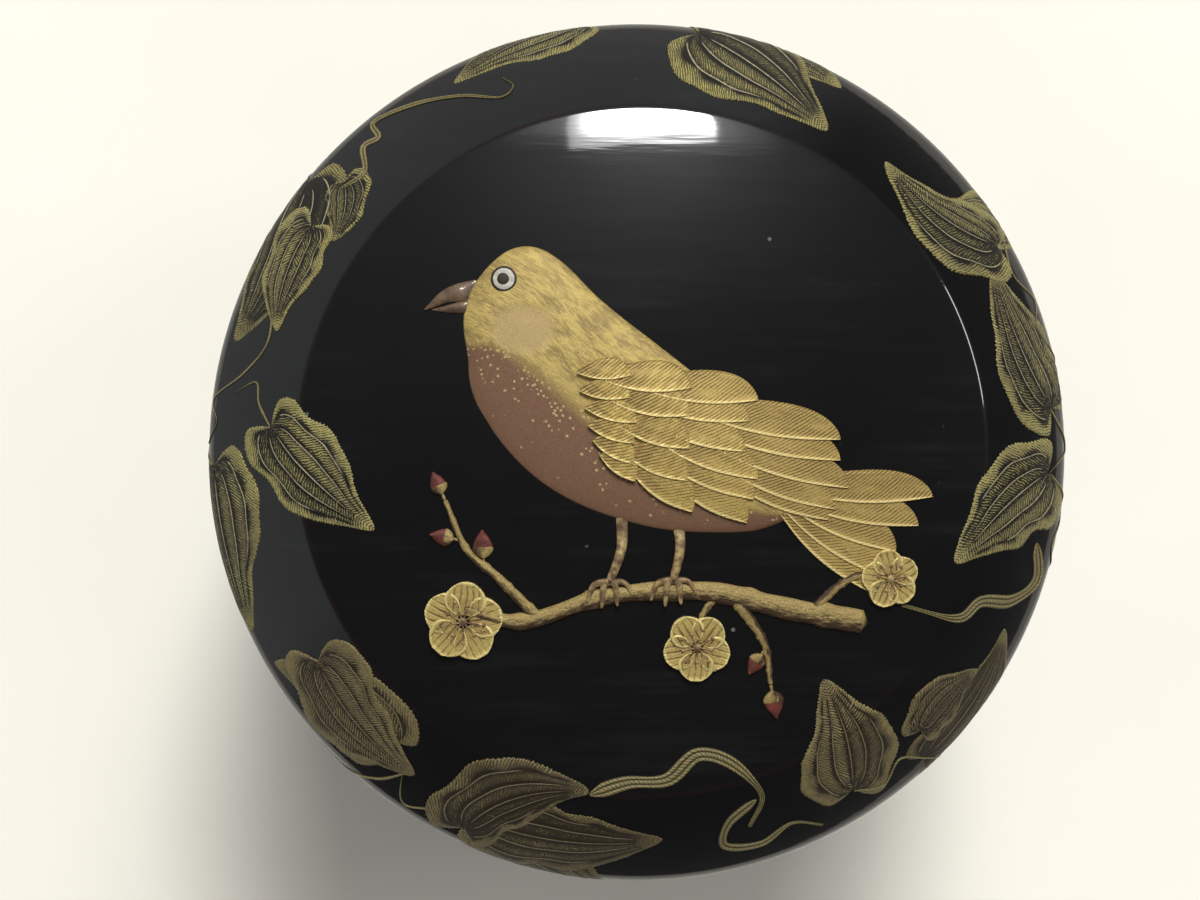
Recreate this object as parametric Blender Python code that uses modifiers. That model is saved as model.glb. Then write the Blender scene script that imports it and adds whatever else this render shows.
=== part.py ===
# Lacquer tea caddy: two turned wooden shells, a bowl-like body with a raised lip, and a lid that lifts off.
# Metres, +Z up, origin at the centre of the underside. Every outline is (radius, height), turned round Z.

import math

import bpy
from mathutils import Vector
from mathutils.geometry import interpolate_bezier

# Driving dimensions
RADIUS = 0.0330  # widest, at the joint of lid and body
BODY_HEIGHT = 0.0430  # underside to the ledge that carries the lid
LID_HEIGHT = 0.0237  # rim of the lid to the top of its crown
SEAM_GAP = 0.0003  # between the ledge and the lid's rim
EDGE_EASE = 0.00015  # eased corners of rim, ledge and lip

# Lid
SHOULDER_WIDTH = 0.0071  # from the crease round the crown out to the widest radius
CROWN_RISE = 0.0022  # of the domed top over its crease
BAND_SLOPES = (30.0, 42.0)  # sloping shoulder band, degrees below level, inner and outer end
EDGE_WIDTH = 0.0005  # rounded turn from the band to the side, measured outward
EDGE_END_SLOPE = 64.0
BELLY_WIDTH = 0.0003  # swell of the lid's side below that turn
CROWN_THICKNESS = 0.0024
LID_WALL = 0.0015
INNER_ROUND = 0.0068  # inside corner between the lid's wall and its ceiling

# Body
LIP_HEIGHT = 0.0090
LIP_WALL = 0.0013
LIP_CLEARANCE = 0.0003  # all round, between the lip and the lid's wall
BODY_WALL = 0.0026
FLOOR_THICKNESS = 0.0026
FOOT_RADIUS = 0.0190
FOOT_ROUND = 0.0006
FOOT_RING_WIDTH = 0.0026
FOOT_RECESS = 0.0008  # depth of the hollow inside the foot ring
BELLY_DROP = 0.0215  # how far the body's side stays nearly upright below the ledge
FOOT_FLARE = (0.0084, 0.0055)  # how the body's curve leaves the foot, outward and upward

# Turning
SIDES = 64
MERGE_DISTANCE = 0.00001
CROWN_STEPS = 5  # straight runs in each curve of the outlines
BAND_STEPS = 3
EDGE_STEPS = 3
BELLY_STEPS = 3
CEILING_STEPS = 2
INNER_ROUND_STEPS = 5
BODY_CURVE_POINTS = 13
LACQUER_COLOUR = (0.006, 0.006, 0.007, 1.0)
LACQUER_ROUGHNESS = 0.08


def bend(start, slope_from, slope_to, width, steps):
    """Points of an arc from one downward slope to another, in radians, that runs width outward."""
    arc_radius = width / (math.sin(slope_to) - math.sin(slope_from))
    points = []
    for step in range(1, steps + 1):
        slope = slope_from + (slope_to - slope_from) * step / steps
        points.append(
            (
                start[0] + arc_radius * (math.sin(slope) - math.sin(slope_from)),
                start[1] - arc_radius * (math.cos(slope_from) - math.cos(slope)),
            )
        )
    return points


def offset_inward(points, distance):
    """The outline moved square to itself towards the axis, for an outline that runs down its outer side."""
    moved = []
    for i, (radius, height) in enumerate(points):
        before = Vector(points[max(i - 1, 0)])
        after = Vector(points[min(i + 1, len(points) - 1)])
        along = (after - before).normalized()
        moved.append((radius + along.y * distance, height - along.x * distance))
    return moved


def turned(name, outline, material):
    """A solid turned round Z from an outline whose two ends lie on the axis."""
    mesh = bpy.data.meshes.new(name)
    edges = [(i, i + 1) for i in range(len(outline) - 1)]
    mesh.from_pydata([(radius, 0.0, height) for radius, height in outline], edges, [])
    solid = bpy.data.objects.new(name, mesh)
    screw = solid.modifiers.new("turn", "SCREW")
    screw.axis = "Z"
    screw.steps = SIDES
    screw.render_steps = SIDES
    screw.use_merge_vertices = True
    screw.merge_threshold = MERGE_DISTANCE
    screw.use_smooth_shade = True
    mesh.materials.append(material)
    return solid


def lid_outside():
    """From the top of the crown down to the rim's outer corner."""
    crown_radius = RADIUS - SHOULDER_WIDTH
    crown_slope = 2 * math.atan2(CROWN_RISE, crown_radius)
    band_in, band_out = (math.radians(slope) for slope in BAND_SLOPES)
    edge_end = math.radians(EDGE_END_SLOPE)
    band_width = SHOULDER_WIDTH - EDGE_WIDTH - BELLY_WIDTH
    rim_height = BODY_HEIGHT + SEAM_GAP

    outline = [(0.0, rim_height + LID_HEIGHT)]
    outline += bend(outline[-1], 0.0, crown_slope, crown_radius, CROWN_STEPS)
    outline += bend(outline[-1], band_in, band_out, band_width, BAND_STEPS)
    outline += bend(outline[-1], band_out, edge_end, EDGE_WIDTH, EDGE_STEPS)
    outline += bend(outline[-1], edge_end, math.pi / 2, BELLY_WIDTH, BELLY_STEPS)
    outline += [(RADIUS, rim_height + EDGE_EASE), (RADIUS - EDGE_EASE, rim_height)]
    return outline


def lid_inside():
    """From the middle of the ceiling down to the rim's inner corner."""
    bore_radius = RADIUS - LID_WALL
    ceiling_radius = bore_radius - INNER_ROUND
    crown_radius = RADIUS - SHOULDER_WIDTH
    crown_slope = 2 * math.atan2(CROWN_RISE, crown_radius)
    ceiling_slope = math.asin(math.sin(crown_slope) * ceiling_radius / crown_radius)
    rim_height = BODY_HEIGHT + SEAM_GAP

    outline = [(0.0, rim_height + LID_HEIGHT - CROWN_THICKNESS)]
    outline += bend(outline[-1], 0.0, ceiling_slope, ceiling_radius, CEILING_STEPS)
    outline += bend(outline[-1], ceiling_slope, math.pi / 2, INNER_ROUND, INNER_ROUND_STEPS)
    outline += [(bore_radius, rim_height + EDGE_EASE), (bore_radius + EDGE_EASE, rim_height)]
    return outline


def body_outside():
    """From the ledge's outer corner down the swelling side to the foot ring's outer edge."""
    upright = Vector((RADIUS, BODY_HEIGHT - EDGE_EASE, 0.0))
    foot = Vector((FOOT_RADIUS, FOOT_ROUND, 0.0))
    pull_down = upright - Vector((0.0, BELLY_DROP, 0.0))
    pull_out = foot + Vector((*FOOT_FLARE, 0.0))
    side = interpolate_bezier(upright, pull_down, pull_out, foot, BODY_CURVE_POINTS)
    return [(point.x, point.y) for point in side]


def body_underside():
    """Across the flat of the foot ring and up into the shallow hollow inside it."""
    ring_inner = FOOT_RADIUS - FOOT_RING_WIDTH
    return [
        (FOOT_RADIUS - FOOT_ROUND, 0.0),
        (ring_inner, 0.0),
        (ring_inner - FOOT_RECESS, FOOT_RECESS),
        (0.0, FOOT_RECESS),
    ]


def body_inside():
    """From the middle of the floor up the inner wall to the lip's inner corner."""
    lip_inner = RADIUS - LID_WALL - LIP_CLEARANCE - LIP_WALL
    floor_height = FOOT_RECESS + FLOOR_THICKNESS
    wall = offset_inward(body_outside(), BODY_WALL)
    wall = [(min(radius, lip_inner), height) for radius, height in wall]
    wall = [point for point in wall if floor_height + EDGE_EASE < point[1] < BODY_HEIGHT - BODY_WALL]
    corner = (wall[-1][0] - (wall[-1][1] - floor_height), floor_height)
    lip_top = BODY_HEIGHT + LIP_HEIGHT
    return [(0.0, floor_height), corner, *reversed(wall), (lip_inner, lip_top - EDGE_EASE)]


def body_lip():
    """Over the top of the lip and down its outer side to the ledge."""
    lip_outer = RADIUS - LID_WALL - LIP_CLEARANCE
    lip_inner = lip_outer - LIP_WALL
    lip_top = BODY_HEIGHT + LIP_HEIGHT
    return [
        (lip_inner + EDGE_EASE, lip_top),
        (lip_outer - EDGE_EASE, lip_top),
        (lip_outer, lip_top - EDGE_EASE),
        (lip_outer, BODY_HEIGHT),
        (RADIUS - EDGE_EASE, BODY_HEIGHT),
    ]


def lacquer():
    material = bpy.data.materials.new("black_lacquer")
    material.use_nodes = True
    shader = material.node_tree.nodes["Principled BSDF"]
    shader.inputs["Base Color"].default_value = LACQUER_COLOUR
    shader.inputs["Roughness"].default_value = LACQUER_ROUGHNESS
    shader.inputs["Metallic"].default_value = 0.0
    return material


def main():
    for thing in list(bpy.data.objects):
        bpy.data.objects.remove(thing)
    caddy = bpy.data.collections.new("tea_caddy")
    bpy.context.scene.collection.children.link(caddy)
    black = lacquer()
    body = turned("caddy_body", body_inside() + body_lip() + body_outside() + body_underside(), black)
    lid = turned("lid", lid_outside() + list(reversed(lid_inside())), black)
    for solid in (body, lid):
        caddy.objects.link(solid)


main()
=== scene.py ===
import math

import bpy
import numpy as np
from mathutils import Matrix, Quaternion, Vector


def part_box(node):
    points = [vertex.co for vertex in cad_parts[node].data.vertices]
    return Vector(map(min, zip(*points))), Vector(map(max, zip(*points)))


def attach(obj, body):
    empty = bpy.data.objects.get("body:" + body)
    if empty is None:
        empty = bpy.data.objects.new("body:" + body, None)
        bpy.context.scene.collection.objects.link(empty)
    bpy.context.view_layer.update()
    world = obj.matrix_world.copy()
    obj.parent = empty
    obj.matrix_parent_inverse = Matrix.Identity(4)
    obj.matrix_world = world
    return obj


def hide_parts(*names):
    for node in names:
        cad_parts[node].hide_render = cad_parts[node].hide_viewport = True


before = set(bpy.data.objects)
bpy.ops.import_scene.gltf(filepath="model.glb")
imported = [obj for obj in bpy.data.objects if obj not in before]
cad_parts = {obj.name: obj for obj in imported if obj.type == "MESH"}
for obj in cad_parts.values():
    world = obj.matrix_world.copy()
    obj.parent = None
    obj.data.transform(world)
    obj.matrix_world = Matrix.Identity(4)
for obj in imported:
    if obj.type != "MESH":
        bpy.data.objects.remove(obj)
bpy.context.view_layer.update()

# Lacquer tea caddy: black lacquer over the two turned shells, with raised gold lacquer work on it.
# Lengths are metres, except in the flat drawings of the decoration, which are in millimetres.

lidLow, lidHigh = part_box("lid")
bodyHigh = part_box("caddy_body")[1]
mm = 0.001
seamGap = 0.0003  # between the body's ledge and the lid's rim
shoulderWidth = 0.0071  # from the crease out to the widest radius
reliefSink = 0.05  # mm that the edge of a relief lies in the lacquer
dice = np.random.default_rng(11)

caddy = {
    "radius": lidHigh.x,
    "lidTop": lidHigh.z,
    "rimHeight": lidLow.z,
    "ledgeHeight": lidLow.z - seamGap,
    "lipTop": bodyHigh.z,
    "creaseRadius": lidHigh.x - shoulderWidth,
    "crownRise": 0.0022,
    "slopes": (30.0, 42.0, 62.0),  # degrees below level: both ends of the band, then the edge's end
    "creaseRound": 0.0005,  # softened corner between crown and band
    "edgeWidth": 0.0004,
    "bellyWidth": 0.0001,
    "crownThickness": 0.0024,
    "lidWall": 0.0015,
    "innerRound": 0.0068,
    "ease": 0.00015,
    "lipClearance": 0.0003,
    "lipWall": 0.0013,
    "bodyWall": 0.0026,
    "wallTop": 0.0020,  # below the ledge, where the inner wall turns into the lip
    "floorThickness": 0.0026,
    "footRadius": 0.0190,
    "footRound": 0.0006,
    "footRing": 0.0026,
    "footRecess": 0.0008,
    "bellyDrop": 0.0215,
    "footFlare": (0.0084, 0.0055),
    "segments": 288,
}


# Arc that turns from one downward slope to another while it runs a given width outward:
# radius grows by R (sin slope - sin start), height falls by R (cos start - cos slope).
def slopeArc(start, slopeFrom, slopeTo, width, steps):
    slopes = np.linspace(slopeFrom, slopeTo, steps + 1)[1:]
    arcRadius = width / (math.sin(slopeTo) - math.sin(slopeFrom))
    radii = start[0] + arcRadius * (np.sin(slopes) - math.sin(slopeFrom))
    heights = start[1] - arcRadius * (math.cos(slopeFrom) - np.cos(slopes))
    return np.column_stack([radii, heights])


# Quarter turn between two points: from + (to - from) * (sin, 1 - cos), radius first or height first.
def quarterTurn(start, end, radiusFirst, steps=4):
    angle = np.linspace(0, math.pi / 2, steps + 1)[1:]
    early, late = np.sin(angle), 1 - np.cos(angle)
    shares = np.column_stack([early, late] if radiusFirst else [late, early])
    return np.asarray(start) + (np.asarray(end) - np.asarray(start)) * shares


# Straight run cut into equal steps, so that shading stays even.
def straightRun(start, end, steps):
    share = np.linspace(0, 1, steps + 1)[1:, None]
    return np.asarray(start) + (np.asarray(end) - np.asarray(start)) * share


# Smooth line through a few points: each span is the cubic set by its four neighbours (Catmull-Rom).
def smoothPath(points, count):
    points = np.asarray(points, float)
    padded = np.vstack([2 * points[0] - points[1], points, 2 * points[-1] - points[-2]])
    place = np.linspace(0, len(points) - 1, count)
    span = np.minimum(place.astype(int), len(points) - 2)
    share = (place - span)[:, None]
    a, b, c, d = (padded[span + k] for k in range(4))
    cubic = (3 * b - a - 3 * c + d) * share**3
    return 0.5 * (2 * b + (c - a) * share + (2 * a - 5 * b + 4 * c - d) * share**2 + cubic)


# Distance walked along a line up to each of its points.
def walkedAlong(line):
    return np.concatenate([[0], np.cumsum(np.hypot(*np.diff(line, axis=0).T))])


# Unit direction of a line at each of its points.
def directionOf(line, *spacing):
    along = np.gradient(line, *spacing, axis=0)
    return along / np.linalg.norm(along, axis=1)[:, None]


# The smooth line with its points an equal distance apart.
def evenPath(points, count):
    dense = smoothPath(points, 12 * count)
    walked = walkedAlong(dense)
    stops = np.linspace(0, walked[-1], count)
    return np.column_stack([np.interp(stops, walked, dense[:, k]) for k in range(2)])


def smoothStep(low, high, value):
    share = np.clip((value - low) / (high - low), 0, 1)
    return share * share * (3 - 2 * share)


# Arcs joined end to end from a start, each as (slope at its start, slope at its end, width, steps).
def joinedArcs(start, arcs):
    runs = [np.array([start])]
    for arc in arcs:
        runs.append(slopeArc(runs[-1][-1], *arc))
    return np.vstack(runs)


def crownSlope():
    return 2 * math.atan2(caddy["crownRise"], caddy["creaseRadius"])


# Outer side of the lid, from the top of its crown to its rim: arcs for the crown, the crease, the sloping
# band, the rounded edge and the belly, then a straight side.
def lidOutside():
    radius, crease, half = caddy["radius"], caddy["creaseRadius"], caddy["creaseRound"] / 2
    edge, belly, slopes = caddy["edgeWidth"], caddy["bellyWidth"], caddy["slopes"]
    bandIn, bandOut, edgeEnd = (math.radians(slope) for slope in slopes)
    arcs = joinedArcs((0.0, caddy["lidTop"]), [
        (0.0, crownSlope(), crease - half, 44),
        (crownSlope(), bandIn, 2 * half, 6),
        (bandIn, bandOut, radius - crease - edge - belly - half, 18),
        (bandOut, edgeEnd, edge, 10),
        (edgeEnd, math.pi / 2, belly, 10),
    ])
    return np.vstack([arcs, straightRun(arcs[-1], (radius, caddy["rimHeight"] + caddy["ease"]), 10)])


# Inner side of the lid, from the middle of its ceiling to its rim.
def lidInside():
    bore = caddy["radius"] - caddy["lidWall"]
    ceilingRadius = bore - caddy["innerRound"]
    ceilingSlope = math.asin(math.sin(crownSlope()) * ceilingRadius / caddy["creaseRadius"])
    arcs = joinedArcs((0.0, caddy["lidTop"] - caddy["crownThickness"]), [
        (0.0, ceilingSlope, ceilingRadius, 10),
        (ceilingSlope, math.pi / 2, caddy["innerRound"], 14),
    ])
    return np.vstack([arcs, straightRun(arcs[-1], (bore, caddy["rimHeight"] + caddy["ease"]), 4)])


# The whole lid, from the top of its crown round the rim to the middle of its ceiling.
def lidProfile():
    outside, inside = lidOutside(), lidInside()
    rimOuter = (caddy["radius"] - caddy["ease"], caddy["rimHeight"])
    rimInner = (inside[-1][0] + caddy["ease"], caddy["rimHeight"])
    under = quarterTurn(outside[-1], rimOuter, radiusFirst=False)
    back = quarterTurn(rimInner, inside[-1], radiusFirst=True)
    return np.vstack([outside, under, [rimInner], back[:-1], inside[::-1]])


# Outer side of the body: a cubic curve that leaves the ledge straight down and reaches the foot flaring.
def bodyOutside():
    top = np.array([caddy["radius"], caddy["ledgeHeight"] - caddy["ease"]])
    foot = np.array([caddy["footRadius"], caddy["footRound"]])
    pullTop = top - (0.0, caddy["bellyDrop"])
    pullFoot = foot + caddy["footFlare"]
    t = np.linspace(0, 1, 64)[:, None]
    return (1 - t) ** 3 * top + 3 * (1 - t) ** 2 * t * pullTop + 3 * (1 - t) * t**2 * pullFoot + t**3 * foot


# The whole body, from the middle of its floor up over the lip, down the side and under the foot. The inner
# wall is the outer side moved square to itself by the wall's thickness.
def bodyProfile():
    radius, ease, ledge, lipTop = (caddy[key] for key in ("radius", "ease", "ledgeHeight", "lipTop"))
    footRadius, recess = caddy["footRadius"], caddy["footRecess"]
    lipOuter = radius - caddy["lidWall"] - caddy["lipClearance"]
    lipInner = lipOuter - caddy["lipWall"]
    ringInner = footRadius - caddy["footRing"]
    floorHeight = recess + caddy["floorThickness"]
    outside = bodyOutside()
    along = directionOf(outside)
    inner = outside + np.column_stack([along[:, 1], -along[:, 0]]) * caddy["bodyWall"]
    inner[:, 0] = np.minimum(inner[:, 0], lipInner)
    inner = inner[(inner[:, 1] > floorHeight + 2 * ease) & (inner[:, 1] < ledge - caddy["wallTop"])]
    corner = (inner[-1][0] - (inner[-1][1] - floorHeight), floorHeight)
    return np.vstack([
        [(0.0, floorHeight)],
        straightRun((0.0, floorHeight), corner, 8),
        inner[::-1],
        straightRun(inner[0], (lipInner, lipTop - ease), 4),
        quarterTurn((lipInner, lipTop - ease), (lipInner + ease, lipTop), radiusFirst=False),
        [(lipOuter - ease, lipTop)],
        quarterTurn((lipOuter - ease, lipTop), (lipOuter, lipTop - ease), radiusFirst=True),
        [(lipOuter, ledge), (radius - ease, ledge)],
        quarterTurn((radius - ease, ledge), outside[0], radiusFirst=True)[:-1],
        outside,
        quarterTurn(outside[-1], (footRadius - caddy["footRound"], 0.0), radiusFirst=False, steps=6),
        [(ringInner, 0.0), (ringInner - recess, recess), (0.0, recess)],
    ])


# A stretch of outline with the distance walked along it and its outward normal, for work laid on it.
def skinOf(outline):
    walked = walkedAlong(outline)
    along = directionOf(outline, walked)
    return {"walked": walked, "outline": outline, "normal": np.column_stack([-along[:, 1], along[:, 0]])}


# Point above the skin: radius and height at the walked distance, plus the lift along the normal.
def onSkin(skin, walked, azimuth, lift):
    radius, height, normalR, normalZ = (
        np.interp(walked, skin["walked"], column)
        for column in (*skin["outline"].T, *skin["normal"].T)
    )
    reach = radius + lift * normalR
    return np.stack([reach * np.cos(azimuth), reach * np.sin(azimuth), height + lift * normalZ], axis=-1)


lidSkin = skinOf(lidOutside())
bodySkin = skinOf(bodyOutside())


# Drawing plane of the lid: x and y in mm, their distance from the middle is walked from the crown's top.
def onLidTop(x, y, lift):
    return onSkin(lidSkin, np.hypot(x, y) * mm, np.arctan2(y, x), lift * mm)


# Drawing strip round an upright side: x in mm along the widest circle, y in mm down from the strip's top.
def onSide(skin):
    return lambda x, y, lift: onSkin(skin, y * mm, x * mm / caddy["radius"], lift * mm)


# Faces of a closed skin over a stack of rings: quads between rings, and a fan to one point at each end.
def ringFaces(rows, size):
    ring = np.arange(size)
    ahead = (ring + 1) % size
    step = np.arange(rows - 1)[:, None] * size
    quads = np.stack([step + ring, step + ahead, step + size + ahead, step + size + ring], axis=-1)
    last = (rows - 1) * size
    startFan = np.column_stack([np.full(size, rows * size), ahead, ring])
    endFan = np.column_stack([np.full(size, rows * size + 1), last + ring, last + ahead])
    return quads.reshape(-1, 4), np.vstack([startFan, endFan])


# A closed part: its points, faces turned outward by the sign of its volume, and what its material reads.
# flow is (along, across, own number) in mm, tone and mark are shares that each material uses its own way.
def closedPart(rings, ends, flow=None, tone=None, mark=None):
    rows, size = rings.shape[:2]
    points = np.vstack([rings.reshape(-1, 3), ends])
    quads, fans = ringFaces(rows, size)
    triangles = np.vstack([quads[:, :3], quads[:, [0, 2, 3]], fans])
    a, b, c = (points[triangles[:, k]] - points[0] for k in range(3))
    if np.einsum("ij,ij->", a, np.cross(b, c)) < 0:
        quads, fans = quads[:, ::-1], fans[:, ::-1]

    def field(values, width):
        if values is None:
            return np.zeros((len(points), width))
        values = np.broadcast_to(values, (rows, size, width)).reshape(-1, width)
        return np.vstack([values, values[0], values[-1]])

    return {
        "points": points,
        "quads": quads,
        "fans": fans,
        "flow": field(flow, 3),
        "tone": field(None if tone is None else tone[..., None], 1),
        "mark": field(None if mark is None else mark[..., None], 1),
    }


# Attribute of each field, and the key of its values.
fieldKinds = {"flow": ("FLOAT_VECTOR", "vector"), "tone": ("FLOAT", "value"), "mark": ("FLOAT", "value")}


# One object from several closed parts, with their fields as attributes.
def makePiece(name, parts, finish, standsFor=None):
    material, slot = finishes[finish]
    starts = np.cumsum([0] + [len(part["points"]) for part in parts])
    points = np.vstack([part["points"] for part in parts])
    faces = []
    for start, part in zip(starts, parts):
        faces += (part["quads"] + start).tolist() + (part["fans"] + start).tolist()
    mesh = bpy.data.meshes.new(name)
    mesh.from_pydata(points.tolist(), [], faces)
    for field, (kind, key) in fieldKinds.items():
        values = np.vstack([part[field] for part in parts])
        mesh.attributes.new(field, kind, "POINT").data.foreach_set(key, values.astype(np.float32).ravel())
    mesh.shade_smooth()
    mesh.materials.append(material)
    piece = bpy.data.objects.new(name, mesh)
    bpy.context.scene.collection.objects.link(piece)
    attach(piece, "root")
    if standsFor:
        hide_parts(standsFor)
    print(f"{name}: {len(parts)} parts, {sum(len(face) - 2 for face in faces)} triangles")


# The flow field: distances along and across, and the part's own number.
def flowField(along, across, number=0.0):
    return np.stack(np.broadcast_arrays(along, across, number), axis=-1)


# A thin closed relief: the drawn sheet on top, two rows of points sunk in the lacquer under its edges.
def sheetPart(place, x, y, lift, ends, sink=reliefSink, **fields):
    x = np.column_stack([x[:, 0], x, x[:, -1]])
    y = np.column_stack([y[:, 0], y, y[:, -1]])
    under = np.full((len(lift), 1), -sink)
    rings = place(x, y, np.column_stack([under, lift, under]))
    tips = np.stack([place(px, py, -0.3 * sink) for px, py in ends])
    for key, values in fields.items():
        fields[key] = np.concatenate([values[:, :1], values, values[:, -1:]], axis=1)
    return closedPart(rings, tips, **fields)


# Points beside a flat path: the path plus its left normal times the offset.
def besidePath(path, offset):
    along = directionOf(path)
    return path[:, :1] - along[:, 1:] * offset, path[:, 1:] + along[:, :1] * offset


# Ribbon along a flat path: its points lie beside the path by the half width times the across share.
# lift and tone come from functions of (along share, across share), both as arrays.
def ribbonPart(place, path, halfWidth, liftOf, toneOf, columns=9, number=0.0):
    across = np.sin(np.linspace(-math.pi / 2, math.pi / 2, columns))[None, :]
    walked = walkedAlong(path)[:, None]
    share = walked / walked[-1]
    width = halfWidth[:, None] * across
    x, y = besidePath(path, width)
    lift, tone = (np.broadcast_to(fieldOf(share, across), x.shape) for fieldOf in (liftOf, toneOf))
    along = directionOf(path)
    ends = [path[0] - 0.6 * halfWidth[0] * along[0], path[-1] + 0.6 * halfWidth[-1] * along[-1]]
    flow = flowField(walked, width, number)
    return sheetPart(place, x, y, lift, ends, flow=flow, tone=tone, mark=share + 0 * x)


# Round boss: rings of growing radius, their lift falls from the middle as height (1 - share^2)^power.
def bossPart(place, centre, radius, height, base, power, rows, size):
    share = np.sin(np.linspace(0.15, math.pi / 2, rows))[:, None]
    angle = np.linspace(0, 2 * math.pi, size, endpoint=False)[None, :]
    x = centre[0] + radius * share * np.cos(angle)
    y = centre[1] + radius * share * np.sin(angle)
    lift = base + height * (1 - share**2) ** power + 0 * x
    foot = np.vstack([lift, np.full((1, size), -reliefSink)])
    rings = place(np.vstack([x, x[-1:]]), np.vstack([y, y[-1:]]), foot)
    tips = np.stack([place(*centre, base + height), place(*centre, -reliefSink)])
    flow = flowField(share, angle)
    tone = np.vstack([share + 0 * x, np.ones((1, size))])
    return closedPart(rings, tips, flow=np.concatenate([flow, flow[-1:]]), tone=tone)


# Small helpers for the node trees. A node joins the tree of the sockets that it reads.
def isSocket(value):
    return isinstance(value, bpy.types.NodeSocket)


def addNode(tree, kind, inputs=None, **settings):
    made = tree.nodes.new(kind)
    for name, value in settings.items():
        setattr(made, name, value)
    for name, value in (inputs or {}).items():
        if isSocket(value):
            tree.links.new(value, made.inputs[name])
        else:
            made.inputs[name].default_value = value
    return made


def calc(operation, first, second=0.0, third=0.0, clamp=False):
    tree = (first if isSocket(first) else second).id_data
    inputs = {0: first, 1: second, 2: third}
    return addNode(tree, "ShaderNodeMath", inputs, operation=operation, use_clamp=clamp).outputs[0]


def times(first, second):
    return calc("MULTIPLY", first, second)


def timesPlus(value, factor, extra):
    return calc("MULTIPLY_ADD", value, factor, extra)


def blendColour(share, first, second):
    colours = [value if isSocket(value) else (*value, 1.0) for value in (first, second)]
    inputs = {0: share, 6: colours[0], 7: colours[1]}
    return addNode(share.id_data, "ShaderNodeMix", inputs, data_type="RGBA").outputs[2]


def softLimit(value, low, high):
    inputs = {"Value": value, "From Min": low, "From Max": high}
    return addNode(value.id_data, "ShaderNodeMapRange", inputs, interpolation_type="SMOOTHSTEP").outputs[0]


def noise(where, scale, detail=2.0, rough=0.5):
    inputs = {"Vector": where, "Scale": scale, "Detail": detail, "Roughness": rough}
    return addNode(where.id_data, "ShaderNodeTexNoise", inputs).outputs["Fac"]


def startMaterial(name, values):
    material = bpy.data.materials.new(name)
    material.use_nodes = True
    tree = material.node_tree
    shader = tree.nodes["Principled BSDF"]
    for key, value in values.items():
        shader.inputs[key].default_value = value
    return material, tree, shader


def readFields(tree, *names):
    nodes = [addNode(tree, "ShaderNodeAttribute", attribute_name=name) for name in names]
    return [node.outputs["Vector" if node.attribute_name == "flow" else "Fac"] for node in nodes]


def objectPlace(tree):
    return addNode(tree, "ShaderNodeTexCoord").outputs["Object"]


# Stretches the flow field, so that noise read with it runs as strokes.
def strokePlace(flow, alongScale, acrossScale):
    inputs = {0: flow, 1: (alongScale, acrossScale, 7.3)}
    return addNode(flow.id_data, "ShaderNodeVectorMath", inputs, operation="MULTIPLY").outputs[0]


# Strokes across the flow: a sine of (along + slant * across + reach * wander) over their pitch.
def strokeWave(flow, wander, slant, reach, pitch):
    along, across = addNode(flow.id_data, "ShaderNodeSeparateXYZ", {0: flow}).outputs[:2]
    swept = timesPlus(wander, reach, timesPlus(across, slant, along))
    return calc("SINE", times(swept, 2 * math.pi / pitch))


def addBump(shader, height, distance, sockets=("Normal",)):
    bump = addNode(shader.id_data, "ShaderNodeBump", {"Height": height, "Distance": distance})
    for socket in sockets:
        shader.id_data.links.new(bump.outputs[0], shader.inputs[socket])


# Last nodes of a powdered finish: brightness and roughness vary grain by grain, and height becomes a bump.
def powdered(shader, colour, amount, height, depth, roughness=0.38, spread=0.2):
    tree, grainScale = shader.id_data, 9000.0
    grain = noise(objectPlace(tree), grainScale, 1.0)
    inputs = {"Value": grain, "From Min": 0.3, "From Max": 0.7, "To Min": 1 - amount, "To Max": 1 + amount}
    level = addNode(tree, "ShaderNodeMapRange", inputs).outputs[0]
    grainy = addNode(tree, "ShaderNodeVectorMath", {0: colour, 3: level}, operation="SCALE").outputs[0]
    tree.links.new(grainy, shader.inputs["Base Color"])
    tree.links.new(timesPlus(grain, spread, roughness), shader.inputs["Roughness"])
    addBump(shader, height, depth)


# Polished black lacquer: a clear coat over a near black ground that is a little hazy under it, with wiping
# marks painted lighter as a sheen of scattered light, fine dust and a warmer tone where the lacquer is thin
# along the worn edges.
blackLacquerLook = {
    "ground": (0.0034, 0.0033, 0.0034),
    "wipeSheen": (0.0062, 0.0065, 0.0064),
    "thinEdge": (0.010, 0.0052, 0.0036),
    "dust": (0.22, 0.21, 0.19),
    "groundRoughness": 0.30,
    "coatRoughness": 0.045,
    "hairlines": 0.05,
    "waviness": 0.000006,
}


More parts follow.
